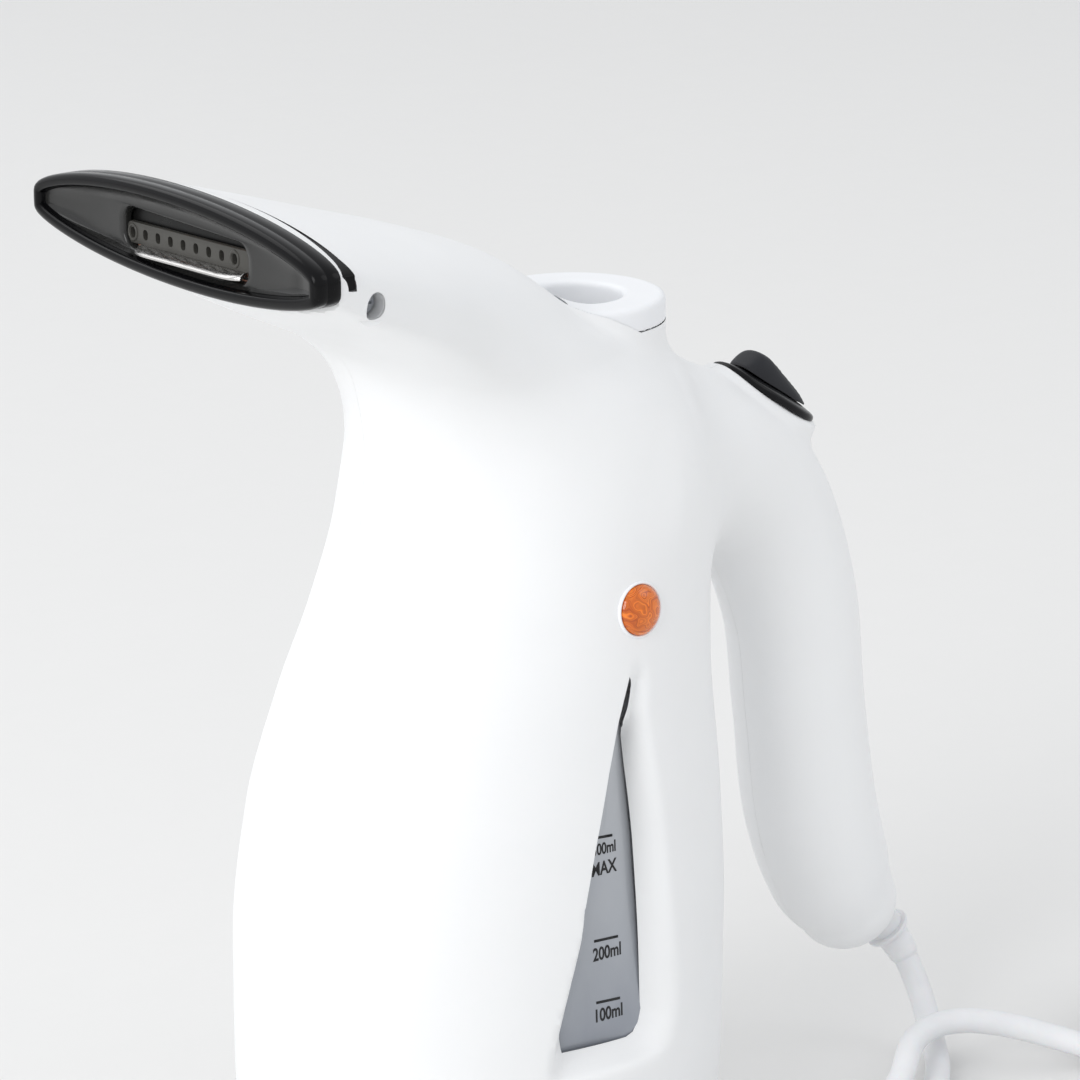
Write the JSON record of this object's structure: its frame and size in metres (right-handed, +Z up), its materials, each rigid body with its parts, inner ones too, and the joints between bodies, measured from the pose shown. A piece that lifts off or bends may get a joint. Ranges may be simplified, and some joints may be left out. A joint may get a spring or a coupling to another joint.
{
  "type": "garment steamer",
  "caption": "Handheld garment steamer: waisted body with water window and open filler collar, broad flat steam nozzle, looped handle with thumb slide, lamp and mains cord.",
  "frame": {"origin": "centre of the body and nozzle's bounding box, on the surface the feet stand on (the cord and what is on it left out)", "axes": "+Z up, -X the way the nozzle points, +X towards the handle, +Y to the user's right when the nozzle points away"},
  "size_m": [0.309, 0.1538, 0.2357],
  "materials": {
    "amber_lens": "translucent amber",
    "brass": "plated",
    "brown_resin": "phenolic resin",
    "clear_pane": "clear grey, see-through in real life",
    "dark_plastic": "heat resistant",
    "foot_rubber": "matt rubber",
    "gloss_black": "polished black",
    "heater_aluminium": "cast",
    "lamp_glass": "clear glass",
    "matt_black": "fine matt black",
    "milky_plastic": "milky, see-through in real life",
    "pale_plastic": "satin, pale",
    "silicone": "matt silicone",
    "smoked_plastic": "smoked, polished",
    "steel": "bright steel",
    "white_plastic": "satin, cool white",
    "wire_blue": "insulation",
    "wire_brown": "insulation"
  },
  "bodies": {
    "steamer": {"base_cover": "white_plastic", "base_screw_left": "steel", "base_screw_right": "steel", "cord_clamp": "pale_plastic", "cord_coil": "pale_plastic", "cord_gland": "matt_black", "cord_run": "pale_plastic", "filler_collar": "white_plastic", "filler_seal": "silicone", "filler_tube": "milky_plastic", "foot_1": "foot_rubber", "foot_2": "foot_rubber", "foot_3": "foot_rubber", "foot_4": "foot_rubber", "heater_clamp": "steel", "heater_cup": "steel", "heater_gasket": "silicone", "heating_element": "steel", "lamp_holder": "pale_plastic", "lamp_lens": "amber_lens", "left_shell": "white_plastic", "level_window": "clear_pane", "neon_lamp": "lamp_glass", "nozzle_bezel": "gloss_black", "nozzle_dish": "smoked_plastic", "nozzle_lip": "steel", "nozzle_seal": "silicone", "plug_body": "pale_plastic", "plug_pin_1": "brass", "plug_pin_2": "brass", "right_shell": "white_plastic", "spout_screw": "steel", "steam_manifold": "dark_plastic", "steam_pipe": "milky_plastic", "steam_plate": "dark_plastic", "strain_relief": "pale_plastic", "switch_body": "dark_plastic", "switch_plate": "gloss_black", "terminal_block": "brown_resin", "thermal_fuse": "brown_resin", "thermostat": "heater_aluminium", "water_tank": "milky_plastic", "wire_live": "wire_brown", "wire_neutral": "wire_blue"},
    "thumb_slide": {"thumb_slide": "matt_black"},
    "switch_slider": {"switch_slider": "matt_black"}
  },
  "joints": [
    {"name": "thumb_slide_travel", "type": "slide", "parent": "steamer", "child": "thumb_slide", "axis": [-0.8387, 0, 0.5446], "range_m": [0, 0.0045]},
    {"name": "switch_slider_travel", "type": "slide", "parent": "steamer", "child": "switch_slider", "axis": [-0.8387, 0, 0.5446], "range_m": [0, 0.0045]}
  ],
  "couplings": [
    {"joint": "switch_slider_travel", "follows": "thumb_slide_travel", "ratio": 1}
  ]
}
